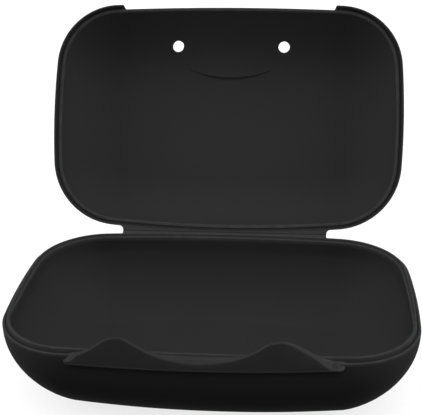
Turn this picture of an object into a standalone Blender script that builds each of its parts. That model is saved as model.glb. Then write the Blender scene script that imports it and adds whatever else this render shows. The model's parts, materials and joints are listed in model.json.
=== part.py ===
"""Soap case: a rounded tray, a hinged lid and the film hinge that joins them.

The plan outline is made of tangent arcs: slightly bowed sides, front and back, joined by round
corners. Every section of the shells is that outline, moved inwards by an inset. The tray stands on
the plane z = 0 with its centre at the origin. The hinge is at +Y and the latch lip at -Y.
"""

import math

import bmesh
import bpy
from mathutils import Vector

# Plan of the case
CASE_WIDTH = 0.112
CASE_DEPTH = 0.0736
SIDE_BOW_RADIUS = 0.247
FRONT_BOW_RADIUS = 0.889
BACK_BOW_RADIUS = 0.414
FRONT_CORNER_RADIUS = 0.0202
BACK_CORNER_RADIUS = 0.0214

# Section of the shells
WALL = 0.0016
RIM_LAND = 0.001
WALL_TURN = math.radians(58.0)
EDGE_ROUND = 0.00025
LEAN_MIDDLE = -0.042
LEAN_SIDES = 0.5
LEAN_POWER = 2.2
TRAY_HEIGHT = 0.0242
FLOOR_RADIUS = 0.008
LID_HEIGHT = 0.0167
CROWN_RADIUS = 0.021

# Rim where tray and lid meet
CLEARANCE = 0.0003
LID_SETBACK = 0.0003
SKIRT = 0.0007
TONGUE = 0.00085
TONGUE_HEIGHT = 0.001
BEAD_HEIGHT = 0.0022
BEAD_OUTSET = 0.00142
BEAD_INSET = 0.00245
GROOVE_DEPTH = 0.0007

# Latch lip on the front of the tray
LIP_HALF_WIDTH = 0.0342
LIP_FOOT_DROP = 0.0024
LIP_FOOT_PROUD = 0.001
LIP_TOP_PROUD = 0.0001
LIP_END_ROUND = 0.0012
LIP_END_INSET = 0.0003
LIP_BEVEL_START = 0.027
LIP_BEVEL_EASE = 0.0015
LIP_BEVEL_SLOPE = 0.45
LIP_ROOT_INSET = 0.0015
LIP_ROOT_RISE = 0.00075
HUMP_PLACE = 0.021
HUMP_HEIGHT = 0.00505
VALLEY_DROP = 0.00085
VALLEY_WIDTH_POWER = 1.6
HUMP_TAIL_POWER = 1.2

# Front of the lid
NOTCH_HALF_WIDTH = 0.0373
NOTCH_INSET = 0.0012
NOTCH_RAMP = 0.003
DRAIN_HOLE_DIAMETER = 0.0038
DRAIN_HOLE_PLACE = 0.0177
DRAIN_HOLE_FROM_FRONT = 0.0113
THUMB_PAD_START = 0.008
THUMB_PAD_END = 0.0217
THUMB_PAD_STEP = 0.0009
THUMB_PAD_RADIUS = 0.035
THUMB_PAD_HALF_WIDTH = 0.0148

# Film hinge
HINGE_SETBACK = 0.0005
FILM_DIAMETER = 0.0005
LEAF_THICKNESS = 0.0006
LEAF_RELIEF = 0.00005
STRAP_HALF_WIDTH = 0.0323
STRAP_FLARE = 0.0012
LID_OPENING = math.radians(115.3)

# Fineness
SIDE_STEPS = 2
CORNER_STEPS = 9
END_STEPS = 5
WALL_STEPS = 6
TURN_STEPS = 3
LIP_STEP = 0.0015
HOLE_SEGMENTS = 24
PAD_SEGMENTS = 96
PAD_BOWL_SEGMENTS = 160
FILM_SEGMENTS = 12
FLARE_STEPS = 4
SHARP_ANGLE = math.radians(28.0)
OVERRUN = 0.003

# Places that follow from the sizes
LID_RIM = TRAY_HEIGHT + CLEARANCE
TONGUE_INSET = LID_SETBACK + SKIRT + CLEARANCE
TONGUE_BACK = TONGUE_INSET + TONGUE
SKIRT_INSET = LID_SETBACK + SKIRT
LID_CUT_INSET = LID_SETBACK + NOTCH_INSET
HUMP_BACK = LID_CUT_INSET - CLEARANCE
FRONT_EDGE = -CASE_DEPTH / 2
BACK_EDGE = CASE_DEPTH / 2
HINGE_Y = BACK_EDGE + HINGE_SETBACK
HINGE_Z = TRAY_HEIGHT + CLEARANCE / 2
LEAF_END = HINGE_Y - FILM_DIAMETER / 2 - CLEARANCE


def clear_scene():
    """Remove every object, so that the script can be run again."""
    for item in list(bpy.data.objects):
        bpy.data.objects.remove(item, do_unlink=True)


def make_collection(name):
    """Return a collection of this name that is linked to the scene."""
    collection = bpy.data.collections.get(name) or bpy.data.collections.new(name)
    if name not in bpy.context.scene.collection.children:
        bpy.context.scene.collection.children.link(collection)
    return collection


def make_material(name, colour, roughness):
    """Return a plain plastic of one colour."""
    material = bpy.data.materials.new(name)
    material.use_nodes = True
    shader = material.node_tree.nodes["Principled BSDF"]
    shader.inputs["Base Color"].default_value = (*colour, 1.0)
    shader.inputs["Roughness"].default_value = roughness
    shader.inputs["Metallic"].default_value = 0.0
    return material


def corner_centre(end_radius, corner_radius):
    """Centre of the corner arc that touches a side arc and an end arc from inside."""
    side = Vector((CASE_WIDTH / 2 - SIDE_BOW_RADIUS, 0.0))
    end = Vector((0.0, CASE_DEPTH / 2 - end_radius))
    side_reach = SIDE_BOW_RADIUS - corner_radius
    end_reach = end_radius - corner_radius
    between = end - side
    along = (side_reach**2 - end_reach**2 + between.length_squared) / (2 * between.length)
    across = math.sqrt(side_reach**2 - along**2)
    direction = between.normalized()
    return side + direction * along + Vector((-direction.y, direction.x)) * across


def arc_points(centre, radius, start, stop, steps):
    """Points along an arc, without its last one."""
    points = []
    for step in range(steps):
        angle = start + (stop - start) * step / steps
        points.append(centre + radius * Vector((math.cos(angle), math.sin(angle))))
    return points


def quarter_points(end_radius, corner_radius, inset):
    """A quarter of the plan, from the middle of the side to just before the middle of the end."""
    side = Vector((CASE_WIDTH / 2 - SIDE_BOW_RADIUS, 0.0))
    end = Vector((0.0, CASE_DEPTH / 2 - end_radius))
    corner = corner_centre(end_radius, corner_radius)
    side_stop = math.atan2(corner.y - side.y, corner.x - side.x)
    end_start = math.atan2(corner.y - end.y, corner.x - end.x)
    points = arc_points(side, SIDE_BOW_RADIUS - inset, 0.0, side_stop, SIDE_STEPS)
    points += arc_points(corner, corner_radius - inset, side_stop, end_start, CORNER_STEPS)
    points += arc_points(end, end_radius - inset, end_start, math.pi / 2, END_STEPS)
    return points


def plan_ring(inset):
    """The whole plan outline at an inset, anticlockwise as seen from above."""
    back = quarter_points(BACK_BOW_RADIUS, BACK_CORNER_RADIUS, inset)
    front = quarter_points(FRONT_BOW_RADIUS, FRONT_CORNER_RADIUS, inset)
    back_middle = Vector((0.0, CASE_DEPTH / 2 - inset))
    front_middle = Vector((0.0, inset - CASE_DEPTH / 2))
    ring = list(back) + [back_middle]
    ring += [Vector((-point.x, point.y)) for point in reversed(back)]
    ring += [Vector((-point.x, -point.y)) for point in front[1:]] + [front_middle]
    ring += [Vector((point.x, -point.y)) for point in reversed(front[1:])]
    return ring


def leaning_ring(inset, lean):
    """The plan outline at an inset, where the walls lean in more towards the two sides."""
    ring = []
    for edge, inner in zip(plan_ring(0.0), plan_ring(inset)):
        share = (abs(edge.x) / (CASE_WIDTH / 2)) ** LEAN_POWER
        stretch = LEAN_MIDDLE + (LEAN_SIDES - LEAN_MIDDLE) * share
        ring.append(inner + (inner - edge).normalized() * lean * stretch)
    return ring


def front_line(x):
    """Y of the tray's front edge at a place along it."""
    return FRONT_EDGE + FRONT_BOW_RADIUS - math.sqrt(FRONT_BOW_RADIUS**2 - x**2)


def back_line(x):
    """Y of the tray's back edge at a place along it."""
    return BACK_EDGE - BACK_BOW_RADIUS + math.sqrt(BACK_BOW_RADIUS**2 - x**2)


def wall_radius(height, end_radius):
    """Radius of the side wall that takes a shell of this height into its end radius."""
    end_rise = end_radius * (1 - math.sin(WALL_TURN))
    return (height - RIM_LAND - end_rise) / math.sin(WALL_TURN)


def shell_section(height, end_radius, offset):
    """Insets and distances from the rim plane down a shell, moved inwards by an offset."""
    radius = wall_radius(height, end_radius)
    section = []
    for step in range(WALL_STEPS + 1):
        angle = WALL_TURN * step / WALL_STEPS
        inset = radius - (radius - offset) * math.cos(angle)
        section.append((inset, RIM_LAND + (radius - offset) * math.sin(angle)))
    centre_inset = radius - (radius - end_radius) * math.cos(WALL_TURN)
    centre_depth = RIM_LAND + (radius - end_radius) * math.sin(WALL_TURN)
    for step in range(1, TURN_STEPS + 1):
        angle = WALL_TURN + (math.pi / 2 - WALL_TURN) * step / TURN_STEPS
        inset = centre_inset - (end_radius - offset) * math.cos(angle)
        section.append((inset, centre_depth + (end_radius - offset) * math.sin(angle)))
    return section


def rounded_edge(inset, level, inset_sign, level_sign):
    """Three points of a rounded edge, from its upright side to its level side."""
    points = []
    for step in range(3):
        angle = math.pi / 4 * step
        inset_share = 1 - math.cos(angle)
        level_share = 1 - math.sin(angle)
        points.append(
            (
                inset + inset_sign * EDGE_ROUND * inset_share,
                level + level_sign * EDGE_ROUND * level_share,
            )
        )
    return points


def finish_mesh(name, shape, material, collection):
    """Turn a bmesh into a smooth shaded object with outward faces."""
    bmesh.ops.recalc_face_normals(shape, faces=shape.faces)
    mesh = bpy.data.meshes.new(name)
    shape.to_mesh(mesh)
    shape.free()
    mesh.materials.append(material)
    mesh.shade_smooth()
    mesh.set_sharp_from_angle(angle=SHARP_ANGLE)
    item = bpy.data.objects.new(name, mesh)
    collection.objects.link(item)
    return item


def loft(name, sections, material, collection):
    """Join closed sections of equal point count in order and cap both ends."""
    shape = bmesh.new()
    rings = [[shape.verts.new(point) for point in section] for section in sections]
    for lower, upper in zip(rings, rings[1:]):
        for index in range(len(lower)):
            following = (index + 1) % len(lower)
            shape.faces.new((lower[index], lower[following], upper[following], upper[index]))
    shape.faces.new(reversed(rings[0]))
    shape.faces.new(rings[-1])
    return finish_mesh(name, shape, material, collection)


def shell_loft(name, levels, shift, material, collection):
    """Loft the plan outline through insets, heights and leans, less a shift in Y and Z."""
    sections = []
    for inset, height, lean in levels:
        ring = leaning_ring(inset, lean)
        sections.append([(point.x, point.y - shift[0], height - shift[1]) for point in ring])
    return loft(name, sections, material, collection)


def mark_cutter(item):
    """Show a helper shape as wire only."""
    item.hide_render = True
    item.display_type = "WIRE"


def add_boolean(item, helper, operation):
    """Cut or join a helper shape."""
    modifier = item.modifiers.new(helper.name, "BOOLEAN")
    modifier.operation = operation
    modifier.solver = "EXACT"
    modifier.object = helper
    mark_cutter(helper)


def even(levels):
    """Levels of a wall that leans alike all round."""
    return [(inset, height, 0.0) for inset, height in levels]


def tray_levels():
    """Insets, heights and leans around the tray's wall, from the underside to the inner floor."""
    outer = shell_section(TRAY_HEIGHT, FLOOR_RADIUS, 0.0)
    inner = shell_section(TRAY_HEIGHT, FLOOR_RADIUS, WALL)
    tongue_top = TRAY_HEIGHT + TONGUE_HEIGHT
    rim = rounded_edge(0.0, TRAY_HEIGHT, 1, -1)
    rim.append((TONGUE_INSET, TRAY_HEIGHT))
    rim += rounded_edge(TONGUE_INSET, tongue_top, 1, -1)
    rim += reversed(rounded_edge(TONGUE_BACK, tongue_top, -1, -1))
    rim.append((TONGUE_BACK, tongue_top - BEAD_HEIGHT))
    levels = [(inset, TRAY_HEIGHT - depth, inset) for inset, depth in reversed(outer)]
    levels += even(rim)
    for (inset, depth), (lean, _) in zip(inner[1:], outer[1:]):
        levels.append((inset, TRAY_HEIGHT - depth, lean))
    return levels


def lip_height(x):
    """Height of the latch lip's top edge above the ledge."""
    place = abs(x)
    if place < HUMP_PLACE:
        share = ((1 - math.cos(math.pi * place / HUMP_PLACE)) / 2) ** VALLEY_WIDTH_POWER
        return -VALLEY_DROP + (HUMP_HEIGHT + VALLEY_DROP) * share
    share = (place - HUMP_PLACE) / (LIP_HALF_WIDTH - HUMP_PLACE)
    return HUMP_HEIGHT * ((1 + math.cos(math.pi * share)) / 2) ** HUMP_TAIL_POWER


def lip_front_height(x):
    """Height of the lip's front edge, which the end bevels take down to the foot."""
    past = max(0.0, abs(x) - LIP_BEVEL_START)
    drop = LIP_BEVEL_SLOPE * past**2 / (past + LIP_BEVEL_EASE)
    return max(lip_height(x) - drop, EDGE_ROUND - LIP_FOOT_DROP)


def lip_back(x):
    """Inset of the lip's back edge, which nears the tray's edge along the end bevels."""
    share = max(0.0, abs(x) - LIP_BEVEL_START) / (LIP_HALF_WIDTH - LIP_BEVEL_START)
    return HUMP_BACK + (LIP_END_INSET - HUMP_BACK) * share


def lip_proud(x, height):
    """How far the lip's front face stands before the tray's edge at a height."""
    upright = (height + LIP_FOOT_DROP) / (HUMP_HEIGHT + LIP_FOOT_DROP)
    proud = LIP_FOOT_PROUD + (LIP_TOP_PROUD - LIP_FOOT_PROUD) * upright
    near_end = 1 - min(1.0, (LIP_HALF_WIDTH - abs(x)) / LIP_END_ROUND)
    return LIP_TOP_PROUD + (proud - LIP_TOP_PROUD) * math.sqrt(1 - near_end**2)


def lip_section(x):
    """Closed section of the latch lip at a place along the front."""
    top = lip_height(x)
    front_top = lip_front_height(x)
    front = -lip_proud(x, front_top)
    back = lip_back(x)
    rounding = EDGE_ROUND
    root = LIP_ROOT_RISE if abs(x) < HUMP_PLACE else min(LIP_ROOT_RISE, top - rounding)
    slope = (top - root) / (front - LIP_ROOT_INSET)

    def rise(inset):
        return min(top, root + slope * (inset - LIP_ROOT_INSET))

    pairs = (
        (-lip_proud(x, -LIP_FOOT_DROP), -LIP_FOOT_DROP),
        (LIP_ROOT_INSET, -LIP_FOOT_DROP),
        (LIP_ROOT_INSET, root),
        (back, max(rise(back), min(root, top - rounding))),
        (back, max(rise(back), top - rounding)),
        (back - rounding, max(rise(back - rounding), top)),
        (front, front_top),
    )
    return [(x, front_line(x) + inset, TRAY_HEIGHT + level) for inset, level in pairs]


def lip_places():
    """Places of the lip's sections, closer together where the lip ends."""
    straight = LIP_HALF_WIDTH - LIP_END_ROUND
    count = round(2 * straight / LIP_STEP)
    ends = [
        straight + LIP_END_ROUND * math.sin(math.pi / 2 * step / FLARE_STEPS)
        for step in range(1, FLARE_STEPS + 1)
    ]
    inner = [straight * (2 * step / count - 1) for step in range(count + 1)]
    return [-place for place in reversed(ends)] + inner + ends


def leaf_sections(root_inset, shift, bottom):
    """Sections of a hinge leaf, which fills from a shell's bowed edge to the straight film."""
    half = STRAP_HALF_WIDTH
    flare = [
        half + STRAP_FLARE * math.sin(math.pi / 2 * step / FLARE_STEPS)
        for step in range(1, FLARE_STEPS + 1)
    ]
    inner = [half * (step / END_STEPS - 1) for step in range(2 * END_STEPS + 1)]
    places = [-place for place in reversed(flare)] + inner + flare
    sections = []
    for x in places:
        root = back_line(x) - root_inset
        over = max(0.0, abs(x) - half) / STRAP_FLARE
        reach = 1 - math.sqrt(1 - (1 - over) ** 2) if over else 1.0
        edge = back_line(x) - LEAF_RELIEF
        tip = edge + (LEAF_END - edge) * reach if over else LEAF_END
        tip = max(tip, root + LEAF_RELIEF)
        sections.append(
            [
                (x, root - shift[0], bottom - shift[1]),
                (x, tip - shift[0], bottom - shift[1]),
                (x, tip - shift[0], bottom + LEAF_THICKNESS - shift[1]),
                (x, root - shift[0], bottom + LEAF_THICKNESS - shift[1]),
            ]
        )
    return sections


def build_tray(parts, cutters, material):
    """The lower shell with its tongue, latch lip and hinge leaf."""
    tray = shell_loft("base_tray", tray_levels(), (0.0, 0.0), material, parts)
    lip_shape = [lip_section(x) for x in lip_places()]
    lip = loft("latch_lip_shape", lip_shape, material, cutters)
    add_boolean(tray, lip, "UNION")
    leaf_bottom = TRAY_HEIGHT - LEAF_RELIEF - LEAF_THICKNESS
    leaf_shape = leaf_sections(TONGUE_INSET, (0.0, 0.0), leaf_bottom)
    leaf = loft("tray_leaf_shape", leaf_shape, material, cutters)
    add_boolean(tray, leaf, "UNION")
    return tray


def build_film(parts, material):
    """The thin strip that bends between the two leaves."""
    bpy.ops.mesh.primitive_cylinder_add(
        vertices=FILM_SEGMENTS,
        radius=FILM_DIAMETER / 2,
        depth=2 * STRAP_HALF_WIDTH,
        location=(0.0, HINGE_Y, HINGE_Z),
        rotation=(0.0, math.pi / 2, 0.0),
    )
    film = bpy.context.object
    film.name = "hinge_film"
    film.data.name = "hinge_film"
    for collection in list(film.users_collection):
        collection.objects.unlink(film)
    parts.objects.link(film)
    film.data.materials.append(material)
    film.data.shade_smooth()
    film.data.set_sharp_from_angle(angle=SHARP_ANGLE)
    return film


def lid_outer_levels():
    """Insets and heights of the lid's outside, from the rim plane up."""
    outer = shell_section(LID_HEIGHT, CROWN_RADIUS, 0.0)
    levels = list(reversed(rounded_edge(LID_SETBACK, LID_RIM, 1, 1)))
    levels += [(LID_SETBACK + inset, LID_RIM + depth) for inset, depth in outer]
    return levels


def lid_inner_levels():
    """Insets and heights of the lid's hollow, from below the rim plane up."""
    inner = shell_section(LID_HEIGHT, CROWN_RADIUS, WALL)
    roof = LID_RIM + TONGUE_HEIGHT
    groove_top = roof + GROOVE_DEPTH
    levels = [(SKIRT_INSET, LID_RIM - OVERRUN), (SKIRT_INSET, groove_top)]
    levels.append((BEAD_OUTSET, groove_top))
    levels += rounded_edge(BEAD_OUTSET, roof, 1, 1)
    levels += reversed(rounded_edge(BEAD_INSET, roof, -1, 1))
    levels.append((BEAD_INSET, LID_RIM + BEAD_HEIGHT))
    levels += [(LID_SETBACK + inset, LID_RIM + depth) for inset, depth in inner[2:]]
    return levels


def lid_ceiling(from_front):
    """Height of the lid's inner face above its rim plane, at a distance from the front."""
    centre_inset = LID_SETBACK + wall_radius(LID_HEIGHT, CROWN_RADIUS) * (1 - math.cos(WALL_TURN))
    centre_inset += CROWN_RADIUS * math.cos(WALL_TURN)
    across = min(0.0, from_front - centre_inset)
    return LID_HEIGHT - CROWN_RADIUS + math.sqrt((CROWN_RADIUS - WALL) ** 2 - across**2)


def make_cylinder(name, radius, length, segments, matrix_steps, collection, material):
    """A closed cylinder along Z, moved by the given rotation and place."""
    place, tilt = matrix_steps
    shape = bmesh.new()
    bmesh.ops.create_cone(
        shape, cap_ends=True, segments=segments, radius1=radius, radius2=radius, depth=length
    )
    item = finish_mesh(name, shape, material, collection)
    item.location = place
    item.rotation_euler = tilt
    return item


def thumb_pad_shape(name, lift, radius, pivot, cutters, material):
    """The scoop under the thumb: a wide bowl along the slope, ended by an upright round."""
    start_height = lid_ceiling(THUMB_PAD_START)
    end_height = LID_HEIGHT - WALL - THUMB_PAD_STEP
    slope = math.atan2(end_height - start_height, THUMB_PAD_END - THUMB_PAD_START)
    side_place = THUMB_PAD_END - THUMB_PAD_RADIUS
    side_place += math.sqrt(THUMB_PAD_RADIUS**2 - THUMB_PAD_HALF_WIDTH**2)
    side_floor = end_height - (THUMB_PAD_END - side_place) * math.tan(slope)
    side_rise = LID_HEIGHT - WALL - side_floor
    bowl_radius = (THUMB_PAD_HALF_WIDTH**2 + side_rise**2) / (2 * side_rise)
    length = 2 * (THUMB_PAD_END + OVERRUN)
    end_y = FRONT_EDGE + THUMB_PAD_END - HINGE_Y
    end_z = LID_RIM + end_height + lift - HINGE_Z
    bowl_place = (0.0, end_y - bowl_radius * math.sin(slope), end_z + bowl_radius * math.cos(slope))
    bowl_tilt = (math.pi / 2 + slope, 0.0, 0.0)
    bowl = make_cylinder(
        name + "_bowl", bowl_radius, length, PAD_BOWL_SEGMENTS, (bowl_place, bowl_tilt), cutters,
        material,
    )
    pad_place = (0.0, end_y - THUMB_PAD_RADIUS, end_z)
    pad = make_cylinder(
        name, radius, length, PAD_SEGMENTS, (pad_place, (0.0, 0.0, 0.0)), cutters, material
    )
    add_boolean(pad, bowl, "INTERSECT")
    mark_cutter(pad)
    for item in (bowl, pad):
        item.parent = pivot
    return pad


def notch_sections():
    """Sections of the space in front of the lid that the latch lip fills."""
    half = NOTCH_HALF_WIDTH
    straight = half - NOTCH_RAMP
    ends = [straight + NOTCH_RAMP * step / FLARE_STEPS for step in range(1, FLARE_STEPS + 1)]
    inner = [straight * (step / END_STEPS - 1) for step in range(2 * END_STEPS + 1)]
    sections = []
    for x in [-place for place in reversed(ends)] + inner + ends:
        over = max(0.0, abs(x) - straight) / NOTCH_RAMP
        depth = LID_CUT_INSET * (1 + math.cos(math.pi * over)) / 2
        near = front_line(x) - OVERRUN - HINGE_Y
        far = front_line(x) + depth - HINGE_Y
        bottom = LID_RIM - OVERRUN - HINGE_Z
        top = LID_RIM + LID_HEIGHT / 2 - HINGE_Z
        sections.append([(x, near, bottom), (x, far, bottom), (x, far, top), (x, near, top)])
    return sections


def build_lid(parts, cutters, material):
    """The upper shell, made about the hinge axis and then swung open on its pivot."""
    pivot = bpy.data.objects.new("lid_pivot", None)
    parts.objects.link(pivot)
    pivot.location = (0.0, HINGE_Y, HINGE_Z)
    pivot.rotation_euler = (-LID_OPENING, 0.0, 0.0)
    shift = (HINGE_Y, HINGE_Z)
    lid = shell_loft("lid_shell", even(lid_outer_levels()), shift, material, parts)
    hollow = shell_loft("lid_hollow", even(lid_inner_levels()), shift, material, cutters)
    inner_pad = thumb_pad_shape("pad_inside", 0.0, THUMB_PAD_RADIUS, pivot, cutters, material)
    outer_pad = thumb_pad_shape(
        "pad_outside", WALL, THUMB_PAD_RADIUS - WALL, pivot, cutters, material
    )
    notch = loft("lid_notch", notch_sections(), material, cutters)
    leaf_middle = (LID_SETBACK + SKIRT_INSET) / 2
    leaf_shape = leaf_sections(leaf_middle, shift, LID_RIM + LEAF_RELIEF)
    leaf = loft("lid_leaf_shape", leaf_shape, material, cutters)
    add_boolean(hollow, inner_pad, "DIFFERENCE")
    add_boolean(lid, outer_pad, "DIFFERENCE")
    add_boolean(lid, hollow, "DIFFERENCE")
    add_boolean(lid, notch, "DIFFERENCE")
    for side, label in ((-1, "left"), (1, "right")):
        hole_y = FRONT_EDGE + DRAIN_HOLE_FROM_FRONT - HINGE_Y
        place = (side * DRAIN_HOLE_PLACE, hole_y, LID_HEIGHT)
        hole = make_cylinder(
            "hole_" + label, DRAIN_HOLE_DIAMETER / 2, LID_HEIGHT, HOLE_SEGMENTS,
            (place, (0.0, 0.0, 0.0)), cutters, material,
        )
        hole.parent = pivot
        add_boolean(lid, hole, "DIFFERENCE")
    add_boolean(lid, leaf, "UNION")
    for item in (lid, hollow, notch, leaf):
        item.parent = pivot
    return lid


def main():
    """Build the three pieces of the soap case."""
    clear_scene()
    parts = make_collection("soap_case")
    cutters = make_collection("soap_case_cutters")
    build_tray(parts, cutters, make_material("tray_plastic", (0.017, 0.017, 0.018), 0.42))
    build_lid(parts, cutters, make_material("lid_plastic", (0.018, 0.018, 0.019), 0.45))
    build_film(parts, make_material("film_plastic", (0.03, 0.03, 0.032), 0.35))


if __name__ == "__main__":
    main()
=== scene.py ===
"""Looks of the soap case: shells, latch lip, hinge strap, plastic finishes and a studio."""

import json
import logging
import math
from collections.abc import Sequence
from dataclasses import dataclass
from enum import Enum
from typing import NamedTuple

import bmesh
import bpy
from mathutils import Matrix, Vector
from mathutils.kdtree import KDTree

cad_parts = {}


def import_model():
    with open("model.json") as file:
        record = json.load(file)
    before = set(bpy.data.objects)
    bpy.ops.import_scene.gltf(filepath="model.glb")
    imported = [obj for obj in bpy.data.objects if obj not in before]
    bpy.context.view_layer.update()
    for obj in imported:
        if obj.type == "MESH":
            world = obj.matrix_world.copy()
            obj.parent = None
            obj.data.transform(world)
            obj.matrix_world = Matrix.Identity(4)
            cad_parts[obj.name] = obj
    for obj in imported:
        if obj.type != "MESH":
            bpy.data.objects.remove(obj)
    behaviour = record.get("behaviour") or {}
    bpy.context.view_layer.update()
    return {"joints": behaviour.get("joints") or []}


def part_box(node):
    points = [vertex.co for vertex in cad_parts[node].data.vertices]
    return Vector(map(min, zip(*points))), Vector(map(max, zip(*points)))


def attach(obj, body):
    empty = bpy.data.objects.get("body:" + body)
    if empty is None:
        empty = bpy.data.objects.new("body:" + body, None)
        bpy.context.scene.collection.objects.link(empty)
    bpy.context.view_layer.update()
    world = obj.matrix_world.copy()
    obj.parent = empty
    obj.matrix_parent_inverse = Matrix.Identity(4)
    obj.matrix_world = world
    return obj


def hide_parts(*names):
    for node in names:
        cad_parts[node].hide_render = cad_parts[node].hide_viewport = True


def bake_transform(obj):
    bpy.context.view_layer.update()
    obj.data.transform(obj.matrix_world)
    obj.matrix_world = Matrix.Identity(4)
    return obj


Object = bpy.types.Object
Node = bpy.types.ShaderNode
NodeTree = bpy.types.ShaderNodeTree
Socket = bpy.types.NodeSocket
Feed = Socket | float | tuple[float, ...] | Vector
Feeds = dict[str | int, Feed]
Colour = tuple[float, float, float]

LOG = logging.getLogger("soap_case")
# Per-point edge mask: rub marks, and also painted highlight on edges that should catch the light.
WEAR_AND_HIGHLIGHT_LAYER = "edge_wear_and_highlight"
WORN_AND_HIGHLIT = 1.0
WHITE = (1.0, 1.0, 1.0, 1.0)
MM_PER_M = 1000
SHARP_ANGLE = math.radians(34.0)
# How far large faces outweigh small ones where normals are evened.
FLAT_WEIGHT = 80
# How much of an edge a rounded corner may use, and the sharpest half angle it is worked out for.
CORNER_SHARE = 0.45
LEAST_HALF_ANGLE = math.radians(5.0)
# Numbers of the colour sockets of a mix node, whose names repeat.
MIX_FIRST, MIX_SECOND, MIX_RESULT = 6, 7, 2
# The latch lip from left to right, in millimetres from its middle: height of its crest over the
# ledge, and how far its front edge lies below the crest.
# fmt: off
CREST = (
    (-34.9, -1.3), (-34.3, -0.8), (-33.8, -0.1), (-33.3, 0.1), (-32.4, 0.25), (-31.2, 0.5),
    (-30.0, 0.95), (-28.0, 2.05), (-26.0, 3.5), (-24.0, 4.85), (-22.0, 5.4), (-20.2, 5.5),
    (-18.8, 4.85), (-15.8, 3.1), (-13.7, 1.95), (-11.0, 0.93), (-8.0, 0.17), (-5.0, -0.3),
    (-1.5, -0.57), (2.0, -0.38), (5.0, 0.1), (8.0, 0.8), (11.0, 1.85), (14.0, 3.45),
    (16.0, 4.9), (17.7, 5.5), (19.6, 5.8), (21.3, 5.7), (23.0, 5.15), (24.7, 4.3),
    (26.1, 3.4), (28.0, 2.1), (30.0, 1.0), (32.0, 0.38), (34.2, 0.2), (34.9, 0.2),
)
FRONT_DROP = (
    (-34.9, 0.3), (-34.3, 0.7), (-33.8, 1.3), (-33.3, 1.4), (-32.4, 0.9), (-31.6, 0.25),
    (-30.8, 0.0), (-30.0, 0.0), (16.0, 0.0), (17.2, 0.0), (18.4, 0.1), (19.6, 0.23),
    (20.8, 0.42), (22.0, 0.6), (23.2, 0.8), (24.4, 0.92), (25.7, 0.9), (26.9, 0.8),
    (28.1, 0.83), (29.0, 0.9), (30.0, 1.2), (31.0, 1.58), (32.0, 1.85), (34.9, 1.7),
)
# fmt: on


class Level(NamedTuple):
    """One ring of a shell: its inset, its height, how much rub marks and painted highlight lighten
    it, and its share of the slant.
    """

    inset: float
    height: float
    wear_and_highlight: float = 0.0
    slant: float = 0.0


class Corner(NamedTuple):
    """One corner of a section before it is rounded."""

    inset: float
    height: float
    radius: float = 0.0
    wear_and_highlight: float = 0.0


class Operation(Enum):
    """How a helper shape changes a shell."""

    CUT = "DIFFERENCE"
    JOIN = "UNION"
    COMMON = "INTERSECT"


def clamp(value: float) -> float:
    """Limit a value to the range from 0 to 1."""
    return min(1.0, max(0.0, value))


def smooth_step(share: float) -> float:
    """Ease a share in at 0 and out at 1."""
    return share * share * (3 - 2 * share)


def bezier(first: Vector, corner: Vector, last: Vector, share: float) -> Vector:
    """Find a point of the curve that starts towards a corner and ends coming from it."""
    return first * (1 - share) ** 2 + corner * 2 * share * (1 - share) + last * share**2


def places_along(reach: float, steps: int, ends: Sequence[float] = ()) -> list[float]:
    """Set even places from side to side, and the given ones past both ends of them."""
    inner = [reach * (2 * step / steps - 1) for step in range(steps + 1)]
    return [-place for place in reversed(ends)] + inner + list(ends)


def arc_points(
    centre: Vector, radius: float, start: float, stop: float, steps: int
) -> list[Vector]:
    """Points along an arc in the plan, without its last one.

    Args:
        centre: Middle of the arc.
        radius: Radius of the arc.
        start: Angle of the first point.
        stop: Angle where the arc ends.
        steps: How many pieces the arc is divided into.

    Returns:
        The points in order.
    """
    angles = [start + (stop - start) * step / steps for step in range(steps)]
    return [centre + radius * Vector((math.cos(angle), math.sin(angle))) for angle in angles]


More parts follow.
